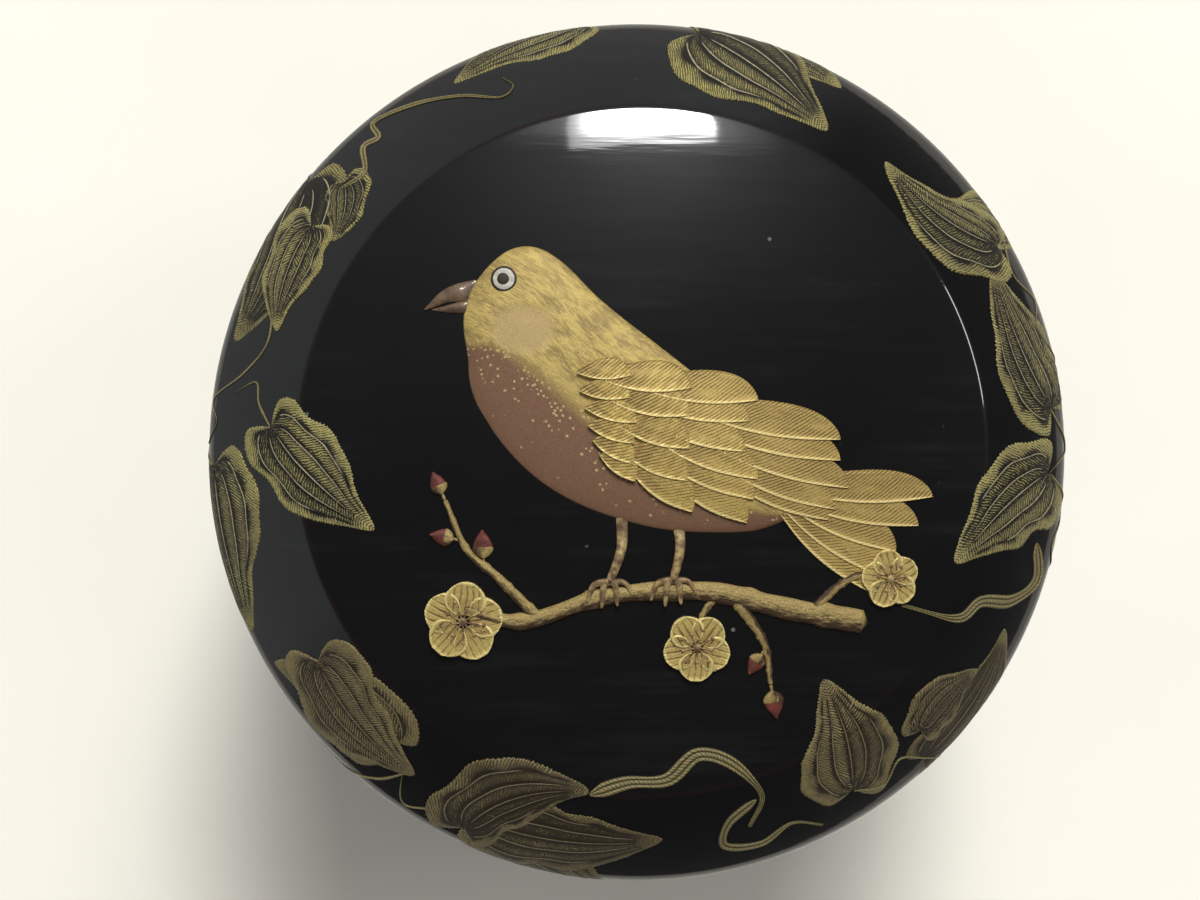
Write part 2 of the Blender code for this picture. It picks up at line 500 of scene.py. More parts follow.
def blackLacquer():
    look = blackLacquerLook
    values = {"IOR": 1.5, "Specular IOR Level": 0.10, "Coat Weight": 1.0, "Coat IOR": 1.5,
              "Coat Roughness": look["coatRoughness"]}
    material, tree, shader = startMaterial("blackLacquer", values)
    place = objectPlace(tree)
    clouds = noise(place, 55.0, 4.0)
    wiped = noise(strokePlace(place, 90.0, 900.0), 1.0, 3.0)
    specks = addNode(tree, "ShaderNodeTexVoronoi", {"Vector": place, "Scale": 420.0}).outputs["Distance"]
    dust = times(softLimit(specks, 0.085, 0.03), softLimit(noise(place, 260.0, 1.0), 0.58, 0.63))
    worn = times(readFields(tree, "mark")[0], softLimit(clouds, 0.35, 0.7))
    # wiping marks painted lighter: a painted sheen, standing in for the glare that real marks scatter near a
    # highlight
    wipeSheen = times(softLimit(wiped, 0.48, 0.72), softLimit(clouds, 0.40, 0.65))
    colour = blendColour(wipeSheen, look["ground"], look["wipeSheen"])
    colour = blendColour(worn, colour, look["thinEdge"])
    colour = blendColour(times(dust, 0.5), colour, look["dust"])
    tree.links.new(colour, shader.inputs["Base Color"])
    rough = timesPlus(clouds, 0.16, look["groundRoughness"] - 0.08)
    tree.links.new(timesPlus(wiped, look["hairlines"], rough), shader.inputs["Roughness"])
    addBump(shader, timesPlus(clouds, 2.0, wiped), look["waviness"], ("Normal", "Coat Normal"))
    return material


plumageLook = {
    "light": (0.430, 0.320, 0.098),
    "dark": (0.240, 0.168, 0.057),
    "belly": (0.165, 0.088, 0.050),
    "bellySpeck": (0.44, 0.33, 0.15),
    "cheek": (0.375, 0.272, 0.113),
    "speckPitch": 0.30,  # mm
}


# Plumage of the body: short strokes laid from head to tail, a red-brown belly strewn with gold dots that
# thin out away from the gold, and a plainer cheek. tone is the belly's share, mark the cheek's.
def plumageGold():
    look = plumageLook
    material, tree, shader = startMaterial("plumageGold", {"Metallic": 0.3, "IOR": 1.45})
    flow, tone, mark = readFields(tree, "flow", "tone", "mark")
    cheek = softLimit(mark, 0.25, 0.75)
    strokes = noise(strokePlace(flow, 1.5, 5.5), 1.0, 3.0, 0.6)
    tufts = noise(strokePlace(flow, 0.55, 1.2), 1.0, 2.0)
    depth = timesPlus(tufts, 0.65, times(strokes, 0.6))
    gold = blendColour(softLimit(depth, 0.46, 0.76), look["dark"], look["light"])
    place = strokePlace(flow, 1 / look["speckPitch"], 1 / look["speckPitch"])
    cells = addNode(tree, "ShaderNodeTexVoronoi", {"Vector": place, "Scale": 1.0})
    chance = addNode(tree, "ShaderNodeSeparateColor", {0: cells.outputs["Color"]}).outputs[0]
    sown = softLimit(calc("SUBTRACT", timesPlus(tone, -1.0, 1.12), chance), 0.0, 0.12)
    speck = times(sown, softLimit(cells.outputs["Distance"], 0.42, 0.24))
    brown = blendColour(times(speck, 0.85), look["belly"], look["bellySpeck"])
    belly = softLimit(timesPlus(depth, 0.5, calc("SUBTRACT", tone, 0.31)), 0.10, 0.50)
    colour = blendColour(cheek, blendColour(belly, gold, brown), look["cheek"])
    plain = calc("SUBTRACT", 1.0, calc("MAXIMUM", cheek, belly), clamp=True)
    powdered(shader, colour, 0.16, timesPlus(times(speck, belly), 0.4, times(depth, plain)), 0.00007)
    return material


featherLook = {
    "light": (0.455, 0.328, 0.095),
    "dark": (0.135, 0.080, 0.031),
    "ridge": (0.60, 0.465, 0.185),
    "barbPitch": 0.33,  # mm
    "barbSweep": 1.25,
}

# Petals: paler than the feathers, with straight barbs
petalTints = {
    "light": (0.46, 0.352, 0.112),
    "ridge": (0.62, 0.50, 0.20),
    "barbPitch": 0.42,
    "barbSweep": 0.0,
}


# Feather: fine dark barbs sweep back from the bright raised shaft. tone darkens, mark is the shaft's share.
def featherGold(name, look):
    material, tree, shader = startMaterial(name, {"Metallic": 0.35, "IOR": 1.45})
    flow, tone, shaft = readFields(tree, "flow", "tone", "mark")
    wander = noise(strokePlace(flow, 0.8, 0.8), 1.0, 2.0)
    wave = strokeWave(flow, wander, -look["barbSweep"], 0.4, look["barbPitch"])
    patchy = noise(strokePlace(flow, 0.45, 1.6), 1.0, 3.0)
    line = softLimit(calc("ADD", wave, timesPlus(patchy, 2.0, -1.25)), 0.1, 1.0)
    dark = timesPlus(line, timesPlus(tone, 0.45, 0.45), times(tone, 0.45))
    colour = blendColour(calc("MINIMUM", dark, 0.95), look["light"], look["dark"])
    colour = blendColour(softLimit(shaft, 0.25, 0.75), colour, look["ridge"])
    powdered(shader, colour, 0.2, calc("SUBTRACT", 1.0, line), 0.00004, roughness=0.34)
    return material


leafLook = {
    "gold": (0.312, 0.270, 0.088),
    "palest": (0.30, 0.265, 0.145),
    "brown": (0.180, 0.146, 0.060),
    "muted": (0.200, 0.180, 0.088),
    "gap": (0.060, 0.052, 0.024),
    "ground": (0.008, 0.007, 0.005),
    "strokePitch": 0.25,  # mm
    "strokeSlant": 0.75,
}

# Darker, browner gold of the leaves along the front of the lid: painted shade of the side turned from the
# light
frontShadeTints = {
    "gold": (0.235, 0.190, 0.072),
    "palest": (0.185, 0.150, 0.072),
    "brown": (0.115, 0.086, 0.038),
    "muted": (0.120, 0.098, 0.052),
    "gap": (0.062, 0.048, 0.027),
    "ground": (0.022, 0.016, 0.009),
}


# Leaf: the gold is sifted in short slanting strokes, dense along the margins and the lit side of each
# vein, sparse beside its dark side. tone is the density, mark the veins, flow's third value a leaf number.
def leafGold(name, look):
    material, tree, shader = startMaterial(name, {"Metallic": 0.25, "IOR": 1.45})
    flow, tone, vein = readFields(tree, "flow", "tone", "mark")
    wander = noise(strokePlace(flow, 0.9, 0.9), 1.0, 2.0)
    wave = strokeWave(flow, wander, -look["strokeSlant"], 0.7, look["strokePitch"])
    broken = noise(strokePlace(flow, 3.6, 3.6), 1.0, 2.0, 0.6)
    own = softLimit(noise(strokePlace(flow, 0.0, 0.0), 1.0, 0.0), 0.30, 0.70)
    level = timesPlus(broken, 3.2, timesPlus(tone, 2.6, timesPlus(own, 1.1, -3.9)))
    dense = softLimit(calc("ADD", wave, level), -0.45, 0.75)
    hue = noise(objectPlace(tree), 190.0, 2.0)
    gold = blendColour(softLimit(hue, 0.32, 0.66), look["brown"], look["gold"])
    gold = blendColour(softLimit(tone, 0.8, 1.15), gold, look["gold"])
    gold = blendColour(times(own, 0.45), gold, look["muted"])
    under = blendColour(softLimit(tone, 0.25, 0.75), look["ground"], look["gap"])
    ragged = timesPlus(broken, 0.7, calc("SUBTRACT", vein, 0.35))
    colour = blendColour(softLimit(ragged, 0.4, 0.75), blendColour(dense, under, gold), look["palest"])
    powdered(shader, colour, 0.25, calc("MAXIMUM", dense, vein), 0.00003)
    return material


tendrilLook = {
    "gold": (0.27, 0.225, 0.095),
    "groove": (0.018, 0.014, 0.008),
    "notchPitch": 0.3,  # mm
}


# Tendrils: gold lines with dark grooves between them and fine notches across. tone is the line's share.
def tendrilGold():
    look = tendrilLook
    material, tree, shader = startMaterial("tendrilGold", {"Metallic": 0.3, "IOR": 1.45})
    flow, tone = readFields(tree, "flow", "tone")
    wander = noise(strokePlace(flow, 1.4, 2.0), 1.0, 2.0)
    wave = strokeWave(flow, wander, 0.8, 0.5, look["notchPitch"])
    notch = softLimit(timesPlus(wave, 0.5, times(wander, 0.8)), 0.1, 0.8)
    share = times(tone, timesPlus(notch, 0.45, 0.55))
    powdered(shader, blendColour(share, look["groove"], look["gold"]), 0.25, share, 0.00005)
    return material


# Bark of the twig: brown lacquer with gold powder in slanting strokes along its upper edge, gathered there as
# a painted highlight of the twig lit from one side.
barkLook = {"bark": (0.052, 0.030, 0.017), "gold": (0.28, 0.205, 0.075)}


def barkGold():
    look = barkLook
    material, tree, shader = startMaterial("barkGold", {"Metallic": 0.3, "IOR": 1.45})
    flow, tone = readFields(tree, "flow", "tone")
    strokes = noise(strokePlace(flow, 1.3, 4.5), 1.0, 3.0, 0.65)
    # gold where tone is high, on the lit side of the twig: a painted highlight
    share = softLimit(timesPlus(tone, 0.75, strokes), 0.62, 0.98)
    powdered(shader, blendColour(share, look["bark"], look["gold"]), 0.3, strokes, 0.00012)
    return material


# Shell inlay: pale, with faint bands of pearl.
shellLook = {"dull": (0.30, 0.285, 0.235), "pale": (0.42, 0.40, 0.33)}


def shellInlay():
    values = {"IOR": 1.5, "Roughness": 0.35, "Coat Weight": 0.15, "Coat Roughness": 0.12}
    material, tree, shader = startMaterial("shellInlay", values)
    bands = noise(strokePlace(objectPlace(tree), 900.0, 3000.0), 1.0, 2.0)
    colour = blendColour(softLimit(bands, 0.35, 0.65), shellLook["dull"], shellLook["pale"])
    tree.links.new(colour, shader.inputs["Base Color"])
    return material


# Plain finishes with a little life in them: one colour mottled towards another.
mottledLooks = {
    "hornBrown": {"light": (0.12, 0.075, 0.042), "dark": (0.055, 0.032, 0.020), "scale": 900.0,
                  "metallic": 0.1, "roughness": 0.34, "coat": 0.3, "slot": "brown_powder"},
    "legGold": {"light": (0.31, 0.22, 0.09), "dark": (0.11, 0.066, 0.036), "scale": 1500.0,
                "metallic": 0.25, "roughness": 0.4, "coat": 0.0, "slot": "brown_powder"},
    "redLacquer": {"light": (0.125, 0.028, 0.018), "dark": (0.060, 0.016, 0.010), "scale": 900.0,
                   "metallic": 0.0, "roughness": 0.42, "coat": 0.15, "slot": "brown_powder"},
    "pupilBlack": {"light": (0.028, 0.015, 0.008), "dark": (0.010, 0.006, 0.004), "scale": 900.0,
                   "metallic": 0.0, "roughness": 0.45, "coat": 0.0, "slot": "black_lacquer"},
}


def mottledLacquer(name, look):
    values = {"Metallic": look["metallic"], "IOR": 1.48, "Coat Weight": look["coat"], "Coat Roughness": 0.08}
    material, tree, shader = startMaterial(name, values)
    mottle = noise(objectPlace(tree), look["scale"], 3.0, 0.6)
    colour = blendColour(softLimit(mottle, 0.36, 0.64), look["dark"], look["light"])
    powdered(shader, colour, 0.15, mottle, 0.00003, look["roughness"], 0.15)
    return material


print("materials")
finishes = {
    "lacquer": (blackLacquer(), "black_lacquer"),
    "plumage": (plumageGold(), "gold_powder"),
    "feather": (featherGold("featherGold", featherLook), "gold_powder"),
    "leaf": (leafGold("leafGold", leafLook), "gold_powder"),
    "frontShadedLeaf": (leafGold("leafFrontShaded", {**leafLook, **frontShadeTints}), "gold_powder"),
    "tendril": (tendrilGold(), "gold_powder"),
    "bark": (barkGold(), "brown_powder"),
    "petal": (featherGold("petalGold", {**featherLook, **petalTints}), "gold_powder"),
    "shell": (shellInlay(), "shell_inlay"),
}
for name, look in mottledLooks.items():
    finishes[name] = (mottledLacquer(name, look), look["slot"])


# Turned shell: the profile carried round Z. mark is the wear, near 1 where the profile bends sharply.
def turnedPart(profile):
    angle = np.linspace(0, 2 * math.pi, caddy["segments"], endpoint=False)
    radius, height = profile[1:-1, :1], profile[1:-1, 1:]
    rings = np.stack(np.broadcast_arrays(radius * np.cos(angle), radius * np.sin(angle), height), axis=-1)
    ends = np.array([(0, 0, profile[0][1]), (0, 0, profile[-1][1])])
    step = np.diff(profile, axis=0)
    slope = np.unwrap(np.arctan2(step[:, 1], step[:, 0]))
    length = np.hypot(*step.T)
    bend = np.abs(np.diff(slope)) / (0.5 * (length[1:] + length[:-1]))
    wear = smoothStep(250.0, 900.0, np.convolve(np.pad(bend, 1, "edge"), [0.25, 0.5, 0.25], "valid"))
    return closedPart(rings, ends, mark=wear[:, None] + 0 * angle)


print("turned shells")
makePiece("lid_lacquer", [turnedPart(lidProfile())], "lacquer", "lid")
makePiece("body_lacquer", [turnedPart(bodyProfile())], "lacquer", "caddy_body")


# Outline of one half of a leaf, from the notch at its base round the lobe to the tip, as shares of the
# leaf's length and full width.
leafShape = {
    "outline": [(0, 0), (-0.08, 0.14), (-0.11, 0.29), (-0.03, 0.43), (0.14, 0.50), (0.35, 0.48), (0.55, 0.39),
                (0.73, 0.24), (0.88, 0.12), (0.97, 0.05), (1, 0)],
    "veins": (0.33, 0.68),  # on each side of the middle one, as shares of the half width
    "veinWidth": 0.016,
    "veinRise": 0.03,
    "puff": 0.02,
    "thickness": 0.035,
    "tooth": 0.10,
    "waves": (0.11, 0.05),
}


# Bends a flat sheet along its x axis into an arc: x becomes the arc's length, y its distance from it.
def bent(x, y, length, turn):
    curve = turn / length
    angle = curve * x
    return np.sin(angle) / curve - y * np.sin(angle), (1 - np.cos(angle)) / curve + y * np.cos(angle)


# Moves a sheet drawn from (0, 0) so that it starts at base with the given heading, in radians.
def placed(x, y, base, heading):
    cos, sin = math.cos(heading), math.sin(heading)
    return base[0] + x * cos - y * sin, base[1] + x * sin + y * cos


# Heart-shaped leaf between its base and its tip, t along and u across from margin to margin:
# x = m + (outline x - m) |u|^1.7 with m = length t^1.25 on the middle vein, y = outline y * u * (1 + lean on
# the u side) * (1 + |u| sin(pi t) times a slow and a quick sine wave); lift = thickness (1 - |u|^8) + puff
# between the veins + a narrow bell on each vein. Its edge is cut in teeth. dense scales the share of gold.
def leafPart(place, base, tip, width, turn, lean=0.0, lift=0.0, dense=1.0,
             rows=110, columns=19, veinPoints=2):
    shape = leafShape
    base, tip = np.asarray(base, float), np.asarray(tip, float)
    chord = math.hypot(*(tip - base))
    length = chord * (turn / 2) / math.sin(turn / 2)
    t = (np.arange(1, rows + 1) / (rows + 1))[:, None]
    outline = evenPath(np.array(shape["outline"]) * (length, width), rows + 2)[1:-1]
    veins = np.array([-shape["veins"][1], -shape["veins"][0], 0.0, *shape["veins"]])
    beside = np.add.outer(veins, shape["veinWidth"] * np.arange(-veinPoints, veinPoints + 1)).ravel()
    u = np.unique(np.round(np.concatenate([np.linspace(-1, 1, columns), beside, [-0.95, 0.95]]), 3))[None, :]
    away = np.abs(u)
    phase = dice.uniform(0, 6, 2)
    ripple = np.where(u < 0, *phase)
    slow, quick = shape["waves"]
    wave = slow * np.sin(11 * t + ripple) + quick * np.sin(25 * t + 2 * ripple)
    middle = length * t**1.25
    x = middle + (outline[:, :1] - middle) * away**1.7
    y = outline[:, 1:] * u * (1 + lean * np.sign(u)) * (1 + away * np.sin(math.pi * t) * wave)
    comb = np.where(np.arange(rows) % 2, 1.0, -1.0)[:, None] * dice.uniform(0.2, 1.0, (rows, 1))
    comb = shape["tooth"] * comb * np.sin(math.pi * t) ** 0.4
    for column, side in ((0, -1.0), (-1, 1.0)):
        run = directionOf(np.column_stack([x[:, column], y[:, column]]))
        reach = comb * np.where(u * side > 0, away**12, 0.0)
        x = x - side * run[:, 1:] * reach
        y = y + side * run[:, :1] * reach
    spread = np.abs(u - veins[:, None, None]) / shape["veinWidth"]
    fade = np.where(np.abs(veins) > 0.5, 0.74, 0.93)[:, None, None]
    bells = np.exp(-(spread**2)) * smoothStep(0.10, 0.16, t) * (1 - smoothStep(fade - 0.12, fade, t))
    vein = bells.max(axis=0)
    bounds = np.array([0.0, *shape["veins"], 1.02])
    sector = np.clip(np.searchsorted(bounds, away, side="right") - 1, 0, 2)
    share = (away - bounds[sector]) / (bounds[sector + 1] - bounds[sector])
    beyond = np.where(sector == 2, 0.32 * (1 - smoothStep(0.15, 0.55, t)), 0.0)
    grow = 0.06 + 0.71 * smoothStep(0.05, 0.48, share) - 0.52 * smoothStep(0.78, 1.0, share) - beyond
    shaded = smoothStep(-0.25, 0.25, u * math.copysign(1.0, phase[0] - 3.0))
    grow = grow * dense * (1 - 0.28 * shaded)
    margin = smoothStep(0.66, 0.88, away + 0.05 * np.sin(33 * t + phase[0])) * (0.5 + 0.5 * dense)
    tone = np.clip(np.maximum(grow * (0.6 + 0.4 * smoothStep(0.08, 0.35, t)), margin), 0.0, 1.1)
    tone = np.maximum(tone, 0.95 * smoothStep(0.80, 0.97, t))
    puff = shape["puff"] * np.sin(math.pi * np.clip(share, 0, 1)) * (1 - margin)
    rise = lift + shape["thickness"] * (1 - away**8) + puff + shape["veinRise"] * vein
    flow = flowField(x, np.abs(y), dice.uniform(0, 40))
    heading = math.atan2(*(tip - base)[::-1]) - turn / 2
    x, y = placed(*bent(x, y, length, turn), base, heading)
    ends = [placed(*bent(end, 0.0, length, turn), base, heading) for end in (0.0, length)]
    return sheetPart(place, x, y, rise, ends, flow=flow, tone=tone, mark=vein)


# Point of the lid's drawing plane from its direction in degrees and its walked distance in mm.
def polar(azimuth, walked):
    angle = math.radians(azimuth)
    return walked * math.cos(angle), walked * math.sin(angle)


# Leaves round the crown and over the shoulder, as (direction, walked distance) of base and tip.
lidLeaves = {
    "leaves_back": [
        {"base": (98, 35.5), "tip": (117, 32.8), "width": 5.4, "turn": 0.5},
        {"base": (80, 34.8), "tip": (61, 33.4), "width": 6.4, "turn": -0.5, "lean": 0.2},
        {"base": (82, 34.0), "tip": (60, 28.4), "width": 9.6, "turn": -0.35, "lift": 0.06},
    ],
    "leaves_back_right": [
        {"base": (31, 35.0), "tip": (38, 27.6), "width": 5.0, "turn": 0.6, "lean": -0.2, "dense": 0.9},
        {"base": (30, 33.0), "tip": (50, 29.3), "width": 6.4, "turn": -0.9, "lean": 0.15, "lift": 0.06,
         "dense": 0.9},
    ],
    "leaves_right": [
        {"base": (6, 33.2), "tip": (28, 31.4), "width": 7.2, "turn": -0.55, "lean": -0.1, "dense": 0.85},
        {"base": (-3, 32.6), "tip": (-20, 25.0), "width": 7.8, "turn": 0.5, "lean": 0.1, "dense": 0.85},
    ],
    "leaves_front_right": [
        {"base": (-47, 33.6), "tip": (-26, 32.2), "width": 6.4, "turn": 0.7, "lean": -0.25, "dense": 0.9},
        {"base": (-45, 31.0), "tip": (-33, 31.8), "width": 4.6, "turn": -0.8, "lift": 0.06, "dense": 0.9},
        {"base": (-58, 31.4), "tip": (-52, 21.8), "width": 7.8, "turn": 0.3, "dense": 1.1},
    ],
    "leaves_front": [
        {"base": (-111, 33.6), "tip": (-93, 38.0), "width": 7.6, "turn": -0.4, "dense": 0.85},
        {"base": (-113, 31.6), "tip": (-87, 30.2), "width": 7.4, "turn": 0.5, "lift": 0.05, "dense": 0.85},
        {"base": (-115, 33.0), "tip": (-99, 26.0), "width": 6.8, "turn": -1.1, "lean": 0.2, "lift": 0.10,
         "dense": 0.9},
    ],
    "leaves_front_left": [
        {"base": (-131, 29.6), "tip": (-150, 33.8), "width": 7.4, "turn": 0.8, "lean": 0.15, "dense": 0.95},
        {"base": (-147, 29.8), "tip": (-125, 30.8), "width": 7.6, "turn": 0.6, "lift": 0.07, "dense": 0.95},
    ],
    "leaves_left": [
        {"base": (-178, 34.2), "tip": (-155, 34.4), "width": 7.2, "turn": 0.3, "lean": 0.1, "dense": 0.85},
        {"base": (176.5, 28.4), "tip": (-163.5, 21.0), "width": 6.8, "turn": 0.3},
    ],
    "leaves_back_left": [
        {"base": (141, 34.4), "tip": (165, 33.6), "width": 7.8, "turn": -0.5, "dense": 0.8},
        {"base": (146, 31.2), "tip": (162, 29.6), "width": 5.6, "turn": 0.7, "lift": 0.07},
        {"base": (138, 31.4), "tip": (146, 28.6), "width": 4.2, "turn": -0.9, "lift": 0.02},
    ],
}


def lidLeafPart(leaf):
    return leafPart(onLidTop, **{**leaf, "base": polar(*leaf["base"]), "tip": polar(*leaf["tip"])})


print("leaves on the lid")
for name, leaves in lidLeaves.items():
    # the leaves along the front take the darker tints, a painted shade
    finish = "frontShadedLeaf" if name.startswith("leaves_front") else "leaf"
    makePiece(name, [lidLeafPart(leaf) for leaf in leaves], finish)


# Tendril: a ribbon that tapers to both ends, its lift raised in lines by |sin(pi lines (across + 1) / 2)|.
def tendrilPart(place, points, width, lines, fineTail=0.25, count=150):
    path = evenPath(points, count)
    share = np.linspace(0, 1, count)
    swell = 1 + 0.18 * np.sin(17 * share + len(points)) * np.sin(6 * share)
    tail = fineTail + (1 - fineTail) * smoothStep(0.0, 0.55, 1 - share)
    taper = np.minimum(1, (share / 0.06) ** 0.5) * tail
    rise = min(0.09, 0.25 * width)

    def lineShare(u):
        return np.abs(np.sin(math.pi * lines * (u + 1) / 2))

    return ribbonPart(
        place, path, 0.5 * width * taper * swell,
        lambda t, u: 0.02 + rise * lineShare(u) * (1 - 0.6 * u**8),
        lambda t, u: smoothStep(0.25, 0.75, lineShare(u)),
        columns=4 * lines + 5, number=dice.uniform(0, 40),
    )


# Tendrils of the lid, as (direction, walked distance); width in mm, lines across it.
lidTendrils = [
    {"points": [(-99, 26.2), (-93, 25.0), (-86, 24.8), (-80, 23.2), (-74, 24.6), (-71, 27.8), (-74, 30.4)],
     "width": 1.15, "lines": 3, "fineTail": 0.3},
    {"points": [(-72, 28.0), (-77, 29.6), (-78, 31.8), (-73, 32.6), (-68, 31.6), (-64, 33.2)],
     "width": 0.78, "lines": 2},
    {"points": [(-13, 32.4), (-18, 33.6), (-22, 31.6), (-24, 28.6), (-28, 27.2), (-31, 22.6)],
     "width": 1.1, "lines": 3},
    {"points": [(139, 31.2), (135, 30.6), (132.5, 32.6), (130, 32.4), (129, 34.0), (123, 32.9), (117, 31.2),
                (112, 29.4), (109.5, 30.0), (110.5, 31.2)],
     "width": 0.55, "lines": 2},
    {"points": [(158, 31.0), (164, 30.2), (169, 31.8), (173, 34.6), (176, 34.0), (179, 35.0)],
     "width": 0.24, "lines": 1},
    {"points": [(176.5, 28.5), (173, 29.8), (170, 30.4), (172, 32.4)], "width": 0.24, "lines": 1},
    {"points": [(34, 35.6), (26, 33.2), (21, 34.4), (17, 33.6), (12, 35.4)], "width": 0.24, "lines": 1},
]

# Thin stems of the leaves, given the same way.
lidStems = {
    "width": 0.28,
    "paths": [
        [(6, 33.1), (1, 35.0), (-1, 34.2), (-3, 32.8)],
        [(-3, 32.9), (-7, 35.4), (-13, 34.4), (-17, 36.2)],
        [(-58, 31.6), (-54, 33.0), (-50, 31.8), (-47, 33.8), (-44, 36.4)],
        [(-113, 33.2), (-119, 32.6), (-124, 34.0), (-127, 31.0)],
        [(-126, 31.0), (-129, 33.6), (-134, 35.4), (-141, 36.0)],
        [(82, 34.2), (84, 36.0), (88, 37.0)],
        [(98, 35.7), (93, 37.4), (88, 37.0)],
        [(31, 35.2), (33, 37.0), (36, 38.6)],
        [(-178, 34.4), (178, 36.4), (171, 37.2)],
        [(141, 34.6), (138, 36.6), (131, 37.6)],
    ],
}

print("tendrils on the lid")
stems = [{"points": path, "width": lidStems["width"], "lines": 1} for path in lidStems["paths"]]
tendrils = [
    tendrilPart(onLidTop, **{**tendril, "points": [polar(*point) for point in tendril["points"]]})
    for tendril in lidTendrils + stems
]
makePiece("tendrils_lid", tendrils, "tendril")


# Vine round an upright side: a stem that waves by wave * sin(2 pi waves share) about its middle, and leaves
# that hang from it by turns, plainer than those on top. Lengths are in mm.
sideVines = {
    "lid_side": {"skin": lidSkin, "middle": 43.4, "wave": 1.6, "waves": 9, "leaves": 11, "leafLength": 8.2},
    "body_side": {"skin": bodySkin, "middle": 14.0, "wave": 4.5, "waves": 5, "leaves": 12,
                  "leafLength": 12.0},
}


def sideVine(name, vine):
    around = 2 * math.pi * caddy["radius"] / mm
    place = onSide(vine["skin"])
    turns = np.linspace(0, 1, 8 * vine["waves"] + 1)

    def stemAt(share):
        return vine["middle"] + vine["wave"] * np.sin(2 * math.pi * vine["waves"] * share)

    stem = np.column_stack([turns * around, stemAt(turns)])
    leaves, stems = [], [tendrilPart(place, stem, 0.6, lines=1, fineTail=1.0, count=420)]
    for index in range(vine["leaves"]):
        share = (index + dice.uniform(0.2, 0.6)) / vine["leaves"]
        side = 1 if index % 2 else -1
        size = vine["leafLength"] * dice.uniform(0.8, 1.1)
        joint = np.array([share * around, stemAt(share)])
        base = joint + (dice.uniform(1.0, 2.2), -side * 0.12 * size)
        tip = base + size * np.array([0.9, side * 0.25 * dice.uniform(0.4, 1.0)])
        coarse = {"rows": 64, "columns": 11, "veinPoints": 1}
        leaves.append(leafPart(place, base, tip, 0.62 * size, side * 0.6, **coarse))
        curl = [joint, 0.5 * (joint + base) + (0, -0.4 * side), base]
        stems.append(tendrilPart(place, curl, 0.45, lines=1, fineTail=0.8, count=40))
        if index % 3 == 0:
            start = joint + (4.0, 0.0)
            steps = ((0.0, 0.0), (2.2, 1.8), (4.6, 1.2), (5.2, 2.8), (4.0, 3.2))
            spiral = [start + (across, side * down) for across, down in steps]
            stems.append(tendrilPart(place, spiral, 0.7, lines=2, count=70))
    makePiece("leaves_" + name, leaves, "leaf")
    makePiece("vine_" + name, stems, "tendril")


print("vines round the sides")
for name, vine in sideVines.items():
    sideVine(name, vine)


# The picture on the crown: a small songbird on a blossoming twig. Its own plane is in mm, tail to head
# along the spine, which is then scaled and moved on the lid.
bird = {
    "scale": 1.12,
    "middle": (0.6, 0.9),
    "spine": [(10.0, -4.6), (6.0, -2.7), (1.5, -0.4), (-3.0, 2.5), (-6.6, 5.9), (-9.3, 8.5), (-12.0, 10.0)],
    "backWidth": [1.3, 3.0, 4.4, 4.9, 4.5, 4.5, 4.1],
    "bellyWidth": [1.5, 4.0, 6.0, 7.0, 6.5, 4.9, 4.0],
    "height": 0.5,
    "bellyLine": (0.6, 0.45, 0.3, 0.18, 0.15, 0.4, 0.9, 1.3),  # where the belly starts, as across shares
    "cheek": ((-8.6, 7.2), (2.7, 2.1)),
    "eye": (-9.9, 10.5),
    "eyeRadius": 0.72,
}


def onCrown(x, y, lift):
    scale, middle = bird["scale"], bird["middle"]
    return onLidTop(np.asarray(x) * scale + middle[0], np.asarray(y) * scale + middle[1], lift)


# Body: beside the spine by its two widths times u, rounded off at both ends like a quarter of an ellipse,
# tail and head, and lift = height (1 - |u|^2.4)^0.55 (tail head)^0.7.
def bodySheet():
    rows, columns, fine = 130, 46, np.arange(600)
    share = (1 - np.cos(np.linspace(0.03, math.pi - 0.03, rows))) / 2
    dense = smoothPath(bird["spine"], len(fine))
    widths = smoothPath(np.column_stack([bird["backWidth"], bird["bellyWidth"]]), len(fine))
    at = share * fine[-1]
    spine = np.column_stack([np.interp(at, fine, dense[:, k]) for k in range(2)])
    back, belly = (np.interp(at, fine, widths[:, k])[:, None] for k in range(2))
    t = share[:, None]
    u = np.sin(np.linspace(-math.pi / 2, math.pi / 2, columns))[None, :]
    tail = np.sqrt(np.clip(1 - np.clip((0.10 - t) / 0.10, 0, 1) ** 2, 0, 1))
    head = np.sqrt(np.clip(1 - np.clip((t - 0.84) / 0.16, 0, 1) ** 2, 0, 1))
    offset = np.where(u < 0, back, belly) * u * tail * head
    x, y = besidePath(spine, offset)
    lift = bird["height"] * (1 - np.abs(u) ** 2.4) ** 0.55 * (tail * head) ** 0.7
    line = smoothPath([(level, 0) for level in bird["bellyLine"]], rows)[:, :1]
    (cx, cy), (rx, ry) = bird["cheek"]
    cheek = 0.75 * (1 - smoothStep(0.45, 1.25, np.hypot((x - cx) / rx, (y - cy) / ry)))
    run = directionOf(spine)
    return {
        "x": x,
        "y": y,
        "lift": lift,
        "ends": [spine[0] - 0.05 * run[0], spine[-1] + 0.05 * run[-1]],
        "flow": flowField(walkedAlong(spine)[:, None], offset),
        "tone": smoothStep(-0.12, 0.60, u - line),
        "mark": cheek,
    }


birdBody = bodySheet()


# Height of the body under a point: the mean of its lifts there, weighted by exp(-(distance / 1 mm)^2).
def bodyLift(x, y):
    px, py = np.ravel(x)[:, None], np.ravel(y)[:, None]
    bx, by, lift = (birdBody[key][::2].ravel() for key in ("x", "y", "lift"))
    far = (px - bx) ** 2 + (py - by) ** 2
    weight = np.exp(-far) + 1e-12
    near = np.exp(-far.min(axis=1))
    return ((weight * lift).sum(axis=1) / weight.sum(axis=1) * near).reshape(np.shape(x))


